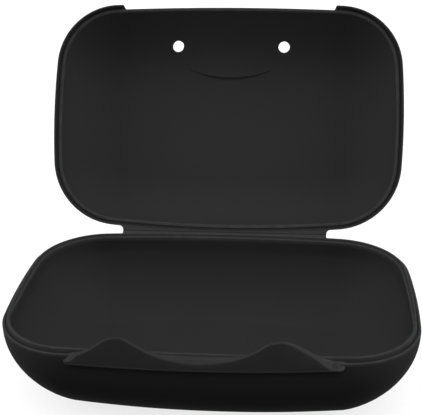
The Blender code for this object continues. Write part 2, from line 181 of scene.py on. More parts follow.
@dataclass(frozen=True)
class CasePlan:
    """Plan outline of the case, made of bowed sides and ends joined by round corners."""

    half_width: float
    half_depth: float
    side_bow: float = 0.247
    front_bow: float = 0.889
    back_bow: float = 0.414
    front_corner: float = 0.0202
    back_corner: float = 0.0214
    middle_slant: float = -0.042
    side_slant: float = 0.46
    slant_power: float = 2.2
    side_steps: int = 10
    corner_steps: int = 22
    end_steps: int = 20

    @staticmethod
    def corner_centre(side: Vector, end: Vector, side_reach: float, end_reach: float) -> Vector:
        """Find the centre of a corner arc from its distances to two other centres.

        Args:
            side: Centre of the side's arc.
            end: Centre of the arc of the front or the back.
            side_reach: Distance to the side's centre.
            end_reach: Distance to the end's centre.

        Returns:
            The centre of the arc that touches the side and the end from inside.
        """
        between = end - side
        along = (side_reach**2 - end_reach**2 + between.length_squared) / (2 * between.length)
        across = math.sqrt(side_reach**2 - along**2)
        direction = between.normalized()
        return side + direction * along + Vector((-direction.y, direction.x)) * across

    def quarter(self, end_bow: float, corner: float, inset: float) -> list[Vector]:
        """Trace a quarter of the outline.

        Args:
            end_bow: Radius of the front or the back.
            corner: Radius of the corner.
            inset: How far inside the outline to trace.

        Returns:
            Points from the middle of the side to just before the middle of the end.
        """
        side = Vector((self.half_width - self.side_bow, 0.0))
        end = Vector((0.0, self.half_depth - end_bow))
        centre = self.corner_centre(side, end, self.side_bow - corner, end_bow - corner)
        side_stop = math.atan2(centre.y - side.y, centre.x - side.x)
        end_start = math.atan2(centre.y - end.y, centre.x - end.x)
        points = arc_points(side, self.side_bow - inset, 0.0, side_stop, self.side_steps)
        points += arc_points(centre, corner - inset, side_stop, end_start, self.corner_steps)
        points += arc_points(end, end_bow - inset, end_start, math.pi / 2, self.end_steps)
        return points

    def slanted_ring(self, inset: float, slant: float) -> list[Vector]:
        """Trace the outline where the walls lean in more at the two sides than in the middle.

        Args:
            inset: How far inside the outline to trace.
            slant: The part of the inset that the lean of the walls stretches.

        Returns:
            The points of the closed ring.
        """
        points = []
        for edge, inner in zip(self.ring(0.0), self.ring(inset)):
            share = (abs(edge.x) / self.half_width) ** self.slant_power
            stretch = self.middle_slant + (self.side_slant - self.middle_slant) * share
            inward = (inner - edge).normalized() if inset else Vector((0.0, 0.0))
            points.append(inner + inward * slant * stretch)
        return points

    def ring(self, inset: float) -> list[Vector]:
        """Trace the whole outline, anticlockwise from above.

        Args:
            inset: How far inside the outline to trace.

        Returns:
            The points of the closed ring.
        """
        back = self.quarter(self.back_bow, self.back_corner, inset)
        front = self.quarter(self.front_bow, self.front_corner, inset)
        reach = self.half_depth - inset
        ring = list(back) + [Vector((0.0, reach))]
        ring += [Vector((-point.x, point.y)) for point in reversed(back)]
        ring += [Vector((-point.x, -point.y)) for point in front[1:]] + [Vector((0.0, -reach))]
        ring += [Vector((point.x, -point.y)) for point in reversed(front[1:])]
        return ring

    def front_line(self, x: float) -> float:
        """Y of the front edge at a place along it."""
        return self.front_bow - self.half_depth - math.sqrt(self.front_bow**2 - x**2)

    def back_line(self, x: float) -> float:
        """Y of the back edge at a place along it."""
        return self.half_depth - self.back_bow + math.sqrt(self.back_bow**2 - x**2)


@dataclass(frozen=True)
class ShellCurve:
    """Section of a shell: an upright land, a side arc and an arc into the flat end."""

    height: float
    end_radius: float
    wall: float = 0.0016
    land: float = 0.001
    turn: float = math.radians(58.0)
    wall_steps: int = 16
    end_steps: int = 10

    @property
    def side_radius(self) -> float:
        """Radius of the side arc."""
        end_rise = self.end_radius * (1 - math.sin(self.turn))
        return (self.height - self.land - end_rise) / math.sin(self.turn)

    @property
    def end_centre(self) -> tuple[float, float]:
        """Find the centre of the arc into the flat end.

        Returns:
            Its inset and its depth.
        """
        reach = self.side_radius - self.end_radius
        inset = self.side_radius - reach * math.cos(self.turn)
        return inset, self.land + reach * math.sin(self.turn)

    def points(self, offset: float) -> list[tuple[float, float]]:
        """Trace the section from the land to the flat end.

        Args:
            offset: How far inside the outer face to trace.

        Returns:
            Pairs of inset and distance from the rim plane.
        """
        radius = self.side_radius
        pairs = []
        for step in range(self.wall_steps + 1):
            angle = self.turn * step / self.wall_steps
            inset = radius - (radius - offset) * math.cos(angle)
            pairs.append((inset, self.land + (radius - offset) * math.sin(angle)))
        centre_inset, centre_depth = self.end_centre
        for step in range(1, self.end_steps + 1):
            angle = self.turn + (math.pi / 2 - self.turn) * step / self.end_steps
            inset = centre_inset - (self.end_radius - offset) * math.cos(angle)
            depth = centre_depth + (self.end_radius - offset) * math.sin(angle)
            pairs.append((inset, depth))
        return pairs

    def face_depth(self, inset: float, offset: float) -> float:
        """Find the depth of a face over the arc into the flat end.

        Args:
            inset: Place inside the outline.
            offset: How far inside the outer face the face lies.

        Returns:
            Distance of the face from the rim plane.
        """
        centre_inset, centre_depth = self.end_centre
        across = min(0.0, inset - centre_inset)
        return centre_depth + math.sqrt((self.end_radius - offset) ** 2 - across**2)


def fillet(corners: Sequence[Corner], steps: int) -> list[Level]:
    """Round the corners of a closed section, with the same number of points whatever its shape.

    Args:
        corners: Corners of the section in order.
        steps: Pieces in each rounded corner.

    Returns:
        The points of the section.
    """
    levels = []
    for index, corner in enumerate(corners):
        here = Vector((corner.inset, corner.height))
        before = Vector(corners[index - 1][:2]) - here
        after = Vector(corners[(index + 1) % len(corners)][:2]) - here
        if corner.radius <= 0.0:
            levels.append(Level(here.x, here.y, corner.wear_and_highlight))
            continue
        limit = min(before.length, after.length) * CORNER_SHARE
        half_angle = max(before.angle(after) / 2, LEAST_HALF_ANGLE)
        reach = min(corner.radius / math.tan(half_angle), limit)
        first = here + before.normalized() * reach
        last = here + after.normalized() * reach
        for step in range(steps + 1):
            point = bezier(first, here, last, step / steps)
            levels.append(Level(point.x, point.y, corner.wear_and_highlight))
    return levels


def shade(mesh: bpy.types.Mesh) -> None:
    """Shade a mesh smooth, with sharp edges where faces meet at an angle."""
    mesh.shade_smooth()
    mesh.set_sharp_from_angle(angle=SHARP_ANGLE)


def mesh_object(name: str, shape: bmesh.types.BMesh) -> Object:
    """Make a smooth shaded object from a bmesh and link it.

    Args:
        name: Name of the object and its mesh.
        shape: The geometry, which is freed.

    Returns:
        The new object.
    """
    bmesh.ops.recalc_face_normals(shape, faces=shape.faces)
    mesh = bpy.data.meshes.new(name)
    shape.to_mesh(mesh)
    shape.free()
    shade(mesh)
    item = bpy.data.objects.new(name, mesh)
    bpy.context.scene.collection.objects.link(item)
    return item


def loft(
    name: str, sections: Sequence[Sequence[Vector]], wear_and_highlight: Sequence[Sequence[float]] | None = None
) -> Object:
    """Join closed sections in order and cap both ends.

    Args:
        name: Name of the object.
        sections: Sections of equal point count.
        wear_and_highlight: How rubbed each point is and how much painted highlight it gets, in the
            order of the sections, or None where nothing is.

    Returns:
        The closed object.
    """
    shape = bmesh.new()
    layer = shape.verts.layers.float.new(WEAR_AND_HIGHLIGHT_LAYER)
    rings = []
    for section, rubs_and_highlights in zip(sections, wear_and_highlight or [[0.0] * len(sections[0])] * len(sections)):
        ring = []
        for point, rub_and_highlight in zip(section, rubs_and_highlights):
            vertex = shape.verts.new(point)
            vertex[layer] = rub_and_highlight
            ring.append(vertex)
        rings.append(ring)
    for lower, upper in zip(rings, rings[1:]):
        for index in range(len(lower)):
            following = (index + 1) % len(lower)
            shape.faces.new((lower[index], lower[following], upper[following], upper[index]))
    shape.faces.new(reversed(rings[0]))
    shape.faces.new(rings[-1])
    return mesh_object(name, shape)


def shell_loft(name: str, plan: CasePlan, levels: Sequence[Level]) -> Object:
    """Loft the plan outline through levels.

    Args:
        name: Name of the object.
        plan: Outline of the case.
        levels: Rings from one cap to the other.

    Returns:
        The closed object.
    """
    sections = []
    for level in levels:
        ring = plan.slanted_ring(level.inset, level.slant)
        sections.append([Vector((point.x, point.y, level.height)) for point in ring])
    wear_and_highlight = [[level.wear_and_highlight] * len(sections[0]) for level in levels]
    return loft(name, sections, wear_and_highlight)


def combine(item: Object, helper: Object, operation: Operation) -> None:
    """Cut or join a helper shape for good, keep the rub marks and painted highlight, and remove
    the helper.

    Args:
        item: The piece that is changed.
        helper: The shape that cuts or joins it.
        operation: What the helper does.
    """
    sources = [item.data, helper.data]
    marks = KDTree(sum(len(mesh.vertices) for mesh in sources))
    rubs_and_highlights = []
    for mesh in sources:
        layer = mesh.attributes[WEAR_AND_HIGHLIGHT_LAYER].data
        for vertex, mark in zip(mesh.vertices, layer):
            marks.insert(vertex.co, len(rubs_and_highlights))
            rubs_and_highlights.append(mark.value)
    marks.balance()
    modifier = item.modifiers.new("combine", "BOOLEAN")
    modifier.operation = operation.value
    modifier.solver = "EXACT"
    modifier.object = helper
    graph = bpy.context.evaluated_depsgraph_get()
    mesh = bpy.data.meshes.new_from_object(item.evaluated_get(graph))
    item.modifiers.clear()
    for vertex, mark in zip(mesh.vertices, mesh.attributes[WEAR_AND_HIGHLIGHT_LAYER].data):
        mark.value = rubs_and_highlights[marks.find(vertex.co)[1]]
    old = item.data
    item.data = mesh
    mesh.name = item.name
    bpy.data.meshes.remove(old)
    bpy.data.objects.remove(helper, do_unlink=True)


def cylinder(name: str, radius: float, length: float, segments: int, place: Vector) -> Object:
    """Make a closed upright cylinder.

    Args:
        name: Name of the object.
        radius: Its radius.
        length: Its length.
        segments: Sides of its round.
        place: Where its middle goes.

    Returns:
        The object, with its place in its mesh.
    """
    shape = bmesh.new()
    shape.verts.layers.float.new(WEAR_AND_HIGHLIGHT_LAYER)
    bmesh.ops.create_cone(
        shape, cap_ends=True, segments=segments, radius1=radius, radius2=radius, depth=length
    )
    shape.transform(Matrix.Translation(place))
    return mesh_object(name, shape)


def settle_normals(item: Object) -> None:
    """Keep flat faces flat beside cuts.

    Args:
        item: The piece, which gets a modifier for its normals.
    """
    shade(item.data)
    modifier = item.modifiers.new("even_normals", "WEIGHTED_NORMAL")
    modifier.keep_sharp = True
    modifier.weight = FLAT_WEIGHT


@dataclass(frozen=True)
class Tongue:
    """Section of the tray's tongue and of the shelf inside it, from the ledge up."""

    outer: float
    inner: float
    height: float
    shelf: float
    shelf_inset: float
    # How much the tongue's edges and the shelf's edge are lightened: rub marks with painted
    # highlight.
    wear_and_highlight: float
    shelf_wear_and_highlight: float


@dataclass(frozen=True)
class Rim:
    """How tray and lid meet."""

    edge_round: float = 0.00025
    crisp_round: float = 0.000075
    clearance: float = 0.0003
    lid_setback: float = 0.00015
    skirt: float = 0.0005
    play: float = 0.00035
    front_tongue: Tongue = Tongue(
        outer=0.0012,
        inner=0.0017,
        height=0.001,
        shelf=0.00095,
        shelf_inset=0.0021,
        wear_and_highlight=0.7,
        shelf_wear_and_highlight=0.5,
    )
    back_tongue: Tongue = Tongue(
        outer=0.00105,
        inner=0.0015,
        height=0.00095,
        shelf=0.0001,
        shelf_inset=0.0022,
        wear_and_highlight=0.9,
        shelf_wear_and_highlight=1.0,
    )
    tongue_height: float = 0.001
    tongue_round: float = 0.00025
    shelf_slack: float = 0.0001
    # Lightening of the slack's edge: rub marks with painted highlight.
    slack_wear_and_highlight: float = 0.2
    side_start: float = -0.022
    side_end: float = -0.006
    bead_height: float = 0.0022
    bead_outset: float = 0.00142
    bead_inset: float = 0.00245
    bead_round: float = 0.0004
    bead_foot: float = 0.00085
    groove: float = 0.0003
    foot_groove: float = 0.00026
    round_steps: int = 4

    @property
    def tongue_inset(self) -> float:
        """Outer face of the tray's tongue."""
        return self.lid_setback + self.skirt + self.play

    def side_share(self, y: float) -> float:
        """How far the tongue has gone over from its front section to the other, 0 to 1."""
        return smooth_step(clamp((y - self.side_start) / (self.side_end - self.side_start)))


@dataclass
class Tray:
    """The lower shell."""

    plan: CasePlan
    rim: Rim
    height: float
    floor_radius: float = 0.008
    inner_start: int = 2

    @property
    def curve(self) -> ShellCurve:
        """Section of the shell."""
        return ShellCurve(height=self.height, end_radius=self.floor_radius)

    def levels(self, tongue: Tongue) -> list[Level]:
        """Rings from the underside, over the rim, to the inner floor.

        Args:
            tongue: Section of the tongue.

        Returns:
            The rings in order.
        """
        rim = self.rim
        face = self.curve.points(0.0)
        back = self.curve.points(self.curve.wall)
        outer = [Level(inset, self.height - depth, 0.0, inset) for inset, depth in face[::-1]]
        inner = [
            Level(inset, self.height - depth, 0.0, lean)
            for (inset, depth), (lean, _) in zip(back, face)
        ][self.inner_start :]
        top = self.height + tongue.height
        shelf = self.height + tongue.shelf
        bead_end = self.height + rim.tongue_height - rim.bead_height
        groove = self.height - rim.groove
        corners = [
            Corner(*outer[-1][:2]),
            Corner(0.0, self.height, rim.edge_round, WORN_AND_HIGHLIT),
            Corner(rim.tongue_inset - rim.foot_groove, self.height, rim.crisp_round),
            Corner(rim.tongue_inset - rim.foot_groove / 2, groove),
            Corner(rim.tongue_inset, groove),
            Corner(tongue.outer, top, rim.tongue_round, tongue.wear_and_highlight),
            Corner(tongue.inner, top, rim.tongue_round, tongue.wear_and_highlight),
            Corner(tongue.inner + rim.shelf_slack, shelf, rim.edge_round, rim.slack_wear_and_highlight),
            Corner(tongue.shelf_inset, shelf, rim.edge_round, tongue.shelf_wear_and_highlight),
            Corner(tongue.shelf_inset, bead_end, rim.bead_foot),
            Corner(*inner[0][:2]),
        ]
        return outer + fillet(corners, rim.round_steps)[1:-1] + inner

    def build(self) -> Object:
        """Make the shell, whose tongue passes from one section to the other at the sides.

        Returns:
            The shell.
        """
        outline = self.plan.ring(0.0)
        shares = [self.rim.side_share(point.y) for point in outline]
        front_levels = self.levels(self.rim.front_tongue)
        back_levels = self.levels(self.rim.back_tongue)
        sections = []
        wear_and_highlight = []
        for front, back in zip(front_levels, back_levels):
            front_ring = self.plan.slanted_ring(front.inset, front.slant)
            back_ring = self.plan.slanted_ring(back.inset, back.slant)
            section = []
            for near, far, share in zip(front_ring, back_ring, shares):
                height = front.height + (back.height - front.height) * share
                section.append(near.lerp(far, share).to_3d() + Vector((0.0, 0.0, height)))
            sections.append(section)
            wear_and_highlight.append([front.wear_and_highlight + (back.wear_and_highlight - front.wear_and_highlight) * share for share in shares])
        return loft("tray_shell", sections, wear_and_highlight)


def knot_value(knots: Sequence[tuple[float, float]], place: float) -> float:
    """Read a smooth curve through knots.

    Args:
        knots: Pairs of place and value, in millimetres, with rising places.
        place: Where to read the curve, in metres.

    Returns:
        The value there, in metres.
    """
    at = min(max(place * MM_PER_M, knots[0][0]), knots[-1][0])
    last = len(knots) - 1
    index = min(last, max(1, sum(knot[0] < at for knot in knots)))
    slopes = []
    for knot in (index - 1, index):
        before, after = knots[max(0, knot - 1)], knots[min(last, knot + 1)]
        slopes.append((after[1] - before[1]) / (after[0] - before[0]))
    (left, low), (right, high) = knots[index - 1], knots[index]
    span = right - left
    share = (at - left) / span
    value = low * (1 + 2 * share) * (1 - share) ** 2 + high * share**2 * (3 - 2 * share)
    value += span * slopes[0] * share * (1 - share) ** 2
    value -= span * slopes[1] * share**2 * (1 - share)
    return value / MM_PER_M


@dataclass
class LatchLip:
    """The band on the tray's front, with two humps that stand over the lid's front wall."""

    plan: CasePlan
    ledge: float
    half_width: float = 0.0349
    foot_drop: float = 0.0027
    foot_bow: float = 0.00075
    foot_tilt: float = 0.00035
    foot_proud: float = 0.001
    foot_land: float = 0.0002
    foot_gap: float = 0.0001
    foot_flare: float = 0.00004
    flare_rise: float = 0.0006
    top_proud: float = 0.0001
    end_round: float = 0.0008
    foot_corner: float = 0.0006
    full_drop: float = 0.0014
    left_round: float = 0.0012
    right_round: float = 0.0005
    # Lightening of the end bevels: rub marks with painted highlight.
    bevel_wear_and_highlight: float = 1.0
    shoulder_rise: float = 0.00015
    shoulder_end: float = 0.0335
    root_inset: float = 0.0015
    root_rise: float = 0.00075
    back_inset: float = 0.0006
    hump_place: float = 0.0207
    hump_height: float = 0.0058
    valley_top: float = 0.001
    valley_reach: float = 0.0016
    valley_round: float = 0.0009
    # Lightening of the valley's edge: rub marks with painted highlight.
    valley_wear_and_highlight: float = 0.35
    top_round: float = 0.00045
    foot_round: float = 0.00012
    # Lightening of all other edges of the lip: rub marks with painted highlight.
    least_wear_and_highlight: float = 0.1
    stations: int = 180
    end_steps: int = 8
    round_steps: int = 4

    def front_height(self, x: float) -> float:
        """Height of the front edge over the ledge, which stays above the foot's upright land."""
        lowest = self.foot_land + self.foot_gap - self.foot_depth(x)
        return max(knot_value(CREST, x) - max(0.0, knot_value(FRONT_DROP, x)), lowest)

    def edge_look(self, x: float) -> tuple[float, float]:
        """Shape the front edge, which is rounder, more rubbed and lighter with painted highlight
        in the valley and at the ends.

        Args:
            x: Place along the front.

        Returns:
            Radius of the edge and how much rub marks and painted highlight lighten it.
        """
        bevelled = clamp(knot_value(FRONT_DROP, x) / self.full_drop)
        bevel_round = self.right_round if x > 0 else self.left_round
        low = 0.0
        if abs(x) < self.hump_place:
            low = clamp((self.valley_top - knot_value(CREST, x)) / self.valley_reach)
        edge_round = self.top_round + (bevel_round - self.top_round) * bevelled
        edge_round += (self.valley_round - self.top_round) * low
        return edge_round, self.least_wear_and_highlight + self.bevel_wear_and_highlight * bevelled + self.valley_wear_and_highlight * low

    def foot_depth(self, x: float) -> float:
        """Shape the foot, which is bowed and rounded at its lower corners.

        Args:
            x: Place along the front.

        Returns:
            How far the foot hangs below the ledge.
        """
        share = x / self.half_width
        past = clamp((abs(x) - self.half_width + self.foot_corner) / self.foot_corner)
        corner = self.foot_corner * (1 - math.sqrt(1 - past**2))
        return self.foot_drop - self.foot_bow * share**2 - self.foot_tilt * share - corner

    def end_share(self, x: float) -> float:
        """How much of its stand the lip keeps near its round ends."""
        near_end = 1 - clamp((self.half_width - abs(x)) / self.end_round)
        return math.sqrt(1 - near_end**2)

    def proud(self, x: float, height: float) -> float:
        """Find how far the front face stands before the tray's edge.

        Args:
            x: Place along the front.
            height: Height over the ledge.

        Returns:
            The distance from the edge.
        """
        share = (height + self.foot_drop) / (self.hump_height + self.foot_drop)
        full = self.foot_proud + (self.top_proud - self.foot_proud) * share
        return self.top_proud + (full - self.top_proud) * self.end_share(x)

    def section(self, x: float) -> list[Level]:
        """Trace the rounded section at a place.

        Args:
            x: Place along the front.

        Returns:
            Its points, in insets and heights above the ledge.
        """
        top = knot_value(CREST, x)
        front_top = self.front_height(x)
        front = -self.proud(x, front_top)
        back = self.back_inset
        root = self.root_rise
        if abs(x) > self.hump_place:
            root = min(root, top - self.foot_land)
        depth = self.foot_depth(x)
        foot = -self.proud(x, -depth)
        land = self.foot_land - depth
        flare_height = min(self.flare_rise - depth, (front_top + land) / 2)
        flare = -self.proud(x, flare_height) + self.foot_flare * self.end_share(x)
        front_round, wear_and_highlight = self.edge_look(x)
        slope = (top - root) / (front - self.root_inset)
        back_height = top if top > root else root + slope * (back - self.root_inset)
        corners = [
            Corner(foot, -depth, self.foot_round, self.least_wear_and_highlight),
            Corner(self.root_inset, -depth),
            Corner(self.root_inset, root),
            Corner(back, back_height, self.top_round, wear_and_highlight),
            Corner(front, front_top, front_round, wear_and_highlight),
            Corner(flare, flare_height, self.flare_rise),
            Corner(foot, land, self.foot_round, self.least_wear_and_highlight),
        ]
        rise = self.shoulder_rise if abs(x) < self.shoulder_end else -depth
        return self.add_shoulder(fillet(corners, self.round_steps), rise)

    def add_shoulder(self, levels: list[Level], rise: float) -> list[Level]:
        """Keep the end bevels above the tray's edge, which they would cut through.

        Args:
            levels: The rounded section.
            rise: Least height above the tray's edge.

        Returns:
            The section with one more point, between its back edge and its front edge.
        """
        # Two rounded corners and two sharp ones come first.
        index = 2 * (self.round_steps + 1) + 2
        back, front = levels[index - 1], levels[index]
        inset = min(max(0.0, front.inset), back.inset)
        share = (back.inset - inset) / (back.inset - front.inset)
        height = back.height + (front.height - back.height) * share
        shoulder = Level(inset, max(height, rise), back.wear_and_highlight)
        return levels[:index] + [shoulder] + levels[index:]

    def places(self) -> list[float]:
        """Place the sections, closer together at the round ends.

        Returns:
            Their places from left to right.
        """
        straight = self.half_width - self.end_round
        turns = [math.pi / 2 * step / self.end_steps for step in range(1, self.end_steps + 1)]
        ends = [straight + self.end_round * math.sin(turn) for turn in turns]
        return places_along(straight, self.stations, ends)

    def build(self) -> Object:
        """Make the lip along the front.

        Returns:
            The lip.
        """
        sections = []
        wear_and_highlight = []
        for x in self.places():
            edge = self.plan.front_line(x)
            levels = self.section(x)
            sections.append([Vector((x, edge + p.inset, self.ledge + p.height)) for p in levels])
            wear_and_highlight.append([level.wear_and_highlight for level in levels])
        return loft("latch_lip", sections, wear_and_highlight)


@dataclass
class Lid:
    """The upper shell, made closed and then swung open about the hinge."""

    plan: CasePlan
    rim: Rim
    ledge: float
    hinge: Vector
    opening: float
    height: float = 0.0167
    crown_radius: float = 0.021
    notch_half_width: float = 0.0345
    notch_inset: float = 0.00135
    notch_ramp: float = 0.0011
    notch_steps: int = 40
    ramp_steps: int = 12
    hole_radius: float = 0.0019
    hole_place: float = 0.0177
    hole_from_front: float = 0.0113
    hole_segments: int = 64
    pad_start: float = 0.0080
    pad_end: float = 0.0217
    pad_step: float = 0.0009
    pad_radius: float = 0.0349
    pad_half_width: float = 0.0148
    pad_margin: float = 0.00002
    pad_length: float = 1.2
    pad_steps: int = 36
    pad_segments: int = 288
    inner_start: int = 3
    overrun: float = 0.003

    @property
    def rim_plane(self) -> float:
        """Height of the lid's rim when the case is closed."""
        return self.ledge + self.rim.clearance

    @property
    def curve(self) -> ShellCurve:
        """Section of the lid."""
        return ShellCurve(height=self.height, end_radius=self.crown_radius)

    def outer_levels(self) -> list[Level]:
        """Rings of the outside from the rim plane up.

        Returns:
            The rings in order.
        """
        setback = self.rim.lid_setback
        outer = [Level(setback + i, self.rim_plane + d) for i, d in self.curve.points(0.0)]
        start = Corner(self.rim.tongue_inset, self.rim_plane)
        edge = Corner(setback, self.rim_plane, self.rim.edge_round, WORN_AND_HIGHLIT)
        rounded = fillet([start, edge, Corner(*outer[0][:2])], self.rim.round_steps)[1:-1]
        return rounded + outer

    def inner_levels(self) -> list[Level]:
        """Rings of the hollow from below the rim plane up, with the groove beside the bead.

        Returns:
            The rings in order.
        """
        rim = self.rim
        skirt = rim.lid_setback + rim.skirt
        roof = self.rim_plane + rim.tongue_height
        inner = [
            Level(rim.lid_setback + i, self.rim_plane + d)
            for i, d in self.curve.points(self.curve.wall)
        ][self.inner_start :]
        corners = [
            Corner(skirt, self.rim_plane - self.overrun),
            Corner(skirt, self.rim_plane),
            Corner(skirt, roof + rim.groove, rim.crisp_round),
            Corner(rim.bead_outset, roof + rim.groove, rim.crisp_round),
            Corner(rim.bead_outset, roof, rim.bead_round, WORN_AND_HIGHLIT),
            Corner(rim.bead_inset, roof, rim.bead_round, WORN_AND_HIGHLIT),
            Corner(rim.bead_inset, self.rim_plane + rim.bead_height, rim.bead_foot),
            Corner(*inner[0][:2]),
        ]
        return fillet(corners, rim.round_steps)[:-1] + inner

    def pad(self, name: str, offset: float, radius: float) -> Object:
        """Make the scoop for the thumb: it leaves the slope smoothly and ends in an upright round.

        Args:
            name: Name of the helper.
            offset: How far inside the outer face the scooped face lies.
            radius: Radius of its upright end.

        Returns:
            The helper shape.
        """
        top = self.rim_plane + self.height + self.overrun
        reach = self.pad_half_width + self.overrun
        sections = []
        for step in range(self.pad_steps + 1):
            share = self.pad_length * step / self.pad_steps
            place = self.pad_start + (self.pad_end - self.pad_start) * share
            rise = self.pad_step * smooth_step(min(1.0, share))
            y = place - self.plan.half_depth
            section = []
            for x in places_along(reach, self.pad_steps):
                bow = self.plan.front_line(x) + self.plan.half_depth
                depth = self.curve.face_depth(place - bow - self.rim.lid_setback, offset)
                lift = self.pad_margin - rise * (1 - (x / self.pad_half_width) ** 2)
                section.append(Vector((x, y, self.rim_plane + depth + lift)))
            sections.append(section + [Vector((reach, y, top)), Vector((-reach, y, top))])
        pad = loft(name + "_slope", sections)
        end_place = Vector((0.0, self.pad_end - self.plan.half_depth - self.pad_radius, top))
        end = cylinder(name, radius, 2 * self.height, self.pad_segments, end_place)
        combine(pad, end, Operation.COMMON)
        return pad

    def notch(self) -> Object:
        """Make the space in front of the lid that the latch lip fills.

        Returns:
            The helper shape.
        """
        straight = self.notch_half_width - self.notch_ramp
        cut = self.rim.lid_setback + self.notch_inset
        ramp = [step / self.ramp_steps for step in range(1, self.ramp_steps + 1)]
        ends = [straight + self.notch_ramp * share for share in ramp]
        sections = []
        for x in places_along(straight, self.notch_steps, ends):
            over = max(0.0, abs(x) - straight) / self.notch_ramp
            depth = cut * (1 + math.cos(math.pi * over)) / 2
            near = self.plan.front_line(x) - self.overrun
            far = self.plan.front_line(x) + depth
            bottom = self.rim_plane - self.overrun
            top = self.rim_plane + self.height / 2
            corners = ((near, bottom), (far, bottom), (far, top), (near, top))
            sections.append([Vector((x, y, z)) for y, z in corners])
        return loft("notch", sections)

    def build(self) -> Object:
        """Make the shell with its hollow, scoop, notch and holes, and swing it open.

        Returns:
            The lid in the open pose.
        """
        shell = shell_loft("lid_skin", self.plan, self.outer_levels())
        hollow = shell_loft("hollow", self.plan, self.inner_levels())
        wall = self.curve.wall
        combine(hollow, self.pad("pad_inside", wall, self.pad_radius), Operation.CUT)
        combine(shell, self.pad("pad_outside", 0.0, self.pad_radius - wall), Operation.CUT)
        combine(shell, hollow, Operation.CUT)
        combine(shell, self.notch(), Operation.CUT)
        hole_y = self.hole_from_front - self.plan.half_depth
        for side in (-1, 1):
            place = Vector((side * self.hole_place, hole_y, self.rim_plane + self.height))
            hole = cylinder("hole", self.hole_radius, self.height, self.hole_segments, place)
            combine(shell, hole, Operation.CUT)
        swing = Matrix.Rotation(-self.opening, 4, "X")
        about_hinge = Matrix.Translation(self.hinge) @ swing @ Matrix.Translation(-self.hinge)
        shell.data.transform(about_hinge)
        settle_normals(shell)
        return shell


@dataclass
class HingeStrap:
    """The strap between the shells: a leaf on each side and the thin film that bends."""

    plan: CasePlan
    rim: Rim
    ledge: float
    hinge: Vector
    opening: float
    half_width: float = 0.0323
    flare: float = 0.0012
    leaf_thickness: float = 0.0006
    film_thickness: float = 0.00032
    relief: float = 0.00005
    film_reach: float = 0.0006
    bend_share: float = 0.85
    root_depth: float = 0.0004
    bend_steps: int = 12
    stations: int = 48
    flare_steps: int = 10

    @property
    def faces(self) -> tuple[float, float]:
        """Heights of the inner and the outer face of the tray's leaf over the hinge line."""
        inner = -self.rim.clearance / 2 - self.relief
        return inner, inner - self.leaf_thickness

    def lid_point(self, back: float, rise: float) -> tuple[float, float]:
        """Find the place of a point of the lid's leaf when the lid is open.

        Args:
            back: How far before the hinge line it lies when closed.
            rise: How far above the hinge line it lies when closed.

        Returns:
            Y and Z in the open pose.
        """
        closed = Vector((0.0, -back, rise))
        turned = Matrix.Rotation(-self.opening, 3, "X") @ closed
        return self.hinge.y + turned.y, self.hinge.z + turned.z

    def tray_point(self, back: float, rise: float) -> tuple[float, float]:
        """Place of a point of the tray's leaf, given before and above the hinge line."""
        return self.hinge.y - back, self.hinge.z + rise

    def section(self, x: float) -> list[tuple[float, float]]:
        """Trace the closed section of the strap at a place.

        Args:
            x: Place along the hinge.

        Returns:
            Its points, in Y and Z of the open pose.
        """
        edge = self.hinge.y - self.plan.back_line(x)
        tray_root = edge + self.root_depth
        lid_root = edge + self.rim.lid_setback + self.root_depth
        near = self.film_reach
        film_inner = self.faces[0] - (self.leaf_thickness - self.film_thickness) / 2
        shares = [step / self.bend_steps for step in range(self.bend_steps + 1)]
        sides = []
        for leaf, film in zip(self.faces, (film_inner, film_inner - self.film_thickness)):
            side = [self.tray_point(tray_root, leaf), self.tray_point(near, leaf)]
            side += [self.bend_point(share, film) for share in shares]
            sides.append(side + [self.lid_point(near, -leaf), self.lid_point(lid_root, -leaf)])
        return sides[0] + sides[1][::-1]

    def bend_point(self, share: float, rise: float) -> tuple[float, float]:
        """Find a point on the bent film.

        Args:
            share: Place along the film, 0 at the tray and 1 at the lid.
            rise: Height of the face over the hinge line on the tray's side.

        Returns:
            Y and Z of the point.
        """
        reach = self.bend_share * self.film_reach
        first = Vector(self.tray_point(reach, rise))
        last = Vector(self.lid_point(reach, -rise))
        bisector = (self.opening - math.pi) / 2
        upward = Vector((-math.sin(bisector), math.cos(bisector)))
        corner = Vector((self.hinge.y, self.hinge.z)) + upward * rise / math.cos(bisector)
        point = bezier(first, corner, last, share)
        return point.x, point.y

    def corner(self, side: int, on_lid: bool) -> Object:
        """Make the hollow round with which a leaf widens at its shell, at one end of the strap.

        Args:
            side: 1 for the right end, -1 for the left.
            on_lid: Whether it is the lid's leaf.

        Returns:
            The corner, which overlaps the strap a little.
        """
        inner, outer = self.faces
        setback = self.rim.lid_setback if on_lid else 0.0
        overlap = self.flare / self.flare_steps
        sections = []
        for step in range(-1, self.flare_steps + 1):
            share = max(0, step) / self.flare_steps
            x = side * (self.half_width + step * overlap)
            edge = self.hinge.y - self.plan.back_line(x) + setback
            root = edge + self.root_depth
            tip = edge - self.flare * (1 - math.sqrt(1 - (1 - share) ** 2))
            section = []
            for back, rise in ((root, inner), (tip, inner), (tip, outer), (root, outer)):
                y, z = self.lid_point(back, -rise) if on_lid else self.tray_point(back, rise)
                section.append(Vector((x, y, z)))
            sections.append(section)
        return loft("strap_corner", sections)

    def build(self) -> Object:
        """Make the strap along the hinge.

        Returns:
            The strap in the open pose.
        """
        sections = []
        for x in places_along(self.half_width, self.stations):
            sections.append([Vector((x, y, z)) for y, z in self.section(x)])
        strap = loft("hinge_strap", sections)
        for side in (-1, 1):
            for on_lid in (False, True):
                combine(strap, self.corner(side, on_lid), Operation.JOIN)
        shade(strap.data)
        return strap


